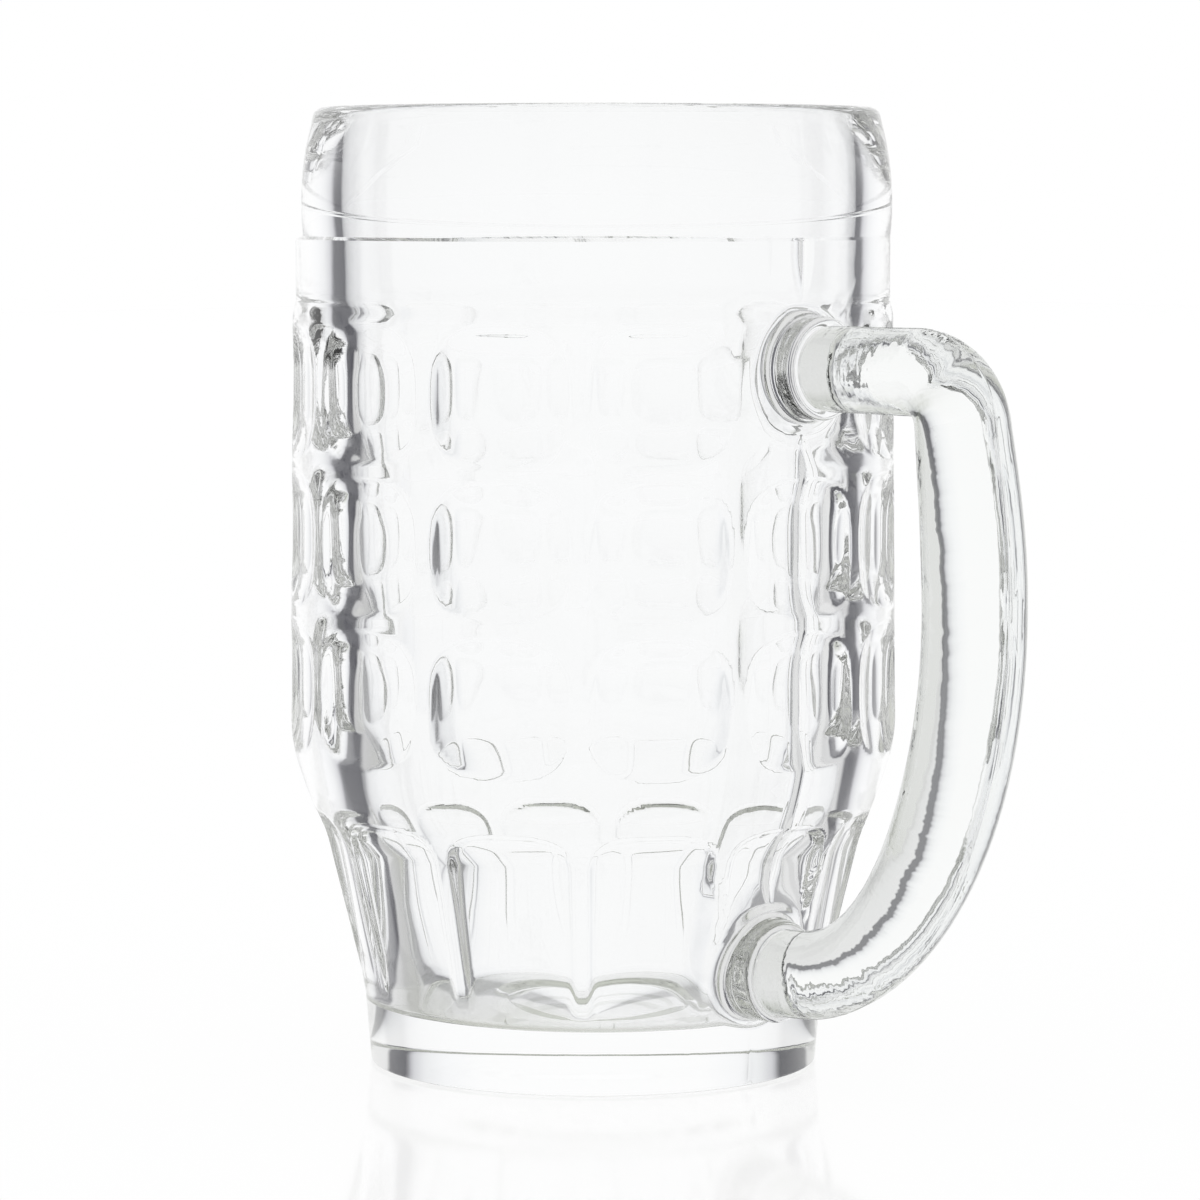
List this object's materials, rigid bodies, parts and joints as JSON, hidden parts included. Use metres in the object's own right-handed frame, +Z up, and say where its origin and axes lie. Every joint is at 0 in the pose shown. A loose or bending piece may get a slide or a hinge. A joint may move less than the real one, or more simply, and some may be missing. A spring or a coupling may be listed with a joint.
{
  "type": "beer mug",
  "caption": "Clear pressed-glass beer mug with rows of hollow panes, a fluted taper, a round foot and a welded D-shaped glass handle.",
  "frame": {"origin": "middle of the foot's underside, on the mug's axis, where it meets the table", "axes": "+Z up along the mug's axis, +X out through the handle, +Y to its side"},
  "size_m": [0.1402, 0.0976, 0.154],
  "materials": {
    "clear_glass": "fire-polished clear soda-lime glass"
  },
  "bodies": {
    "root": {"mug_body": "clear_glass", "handle": "clear_glass"}
  },
  "joints": []
}
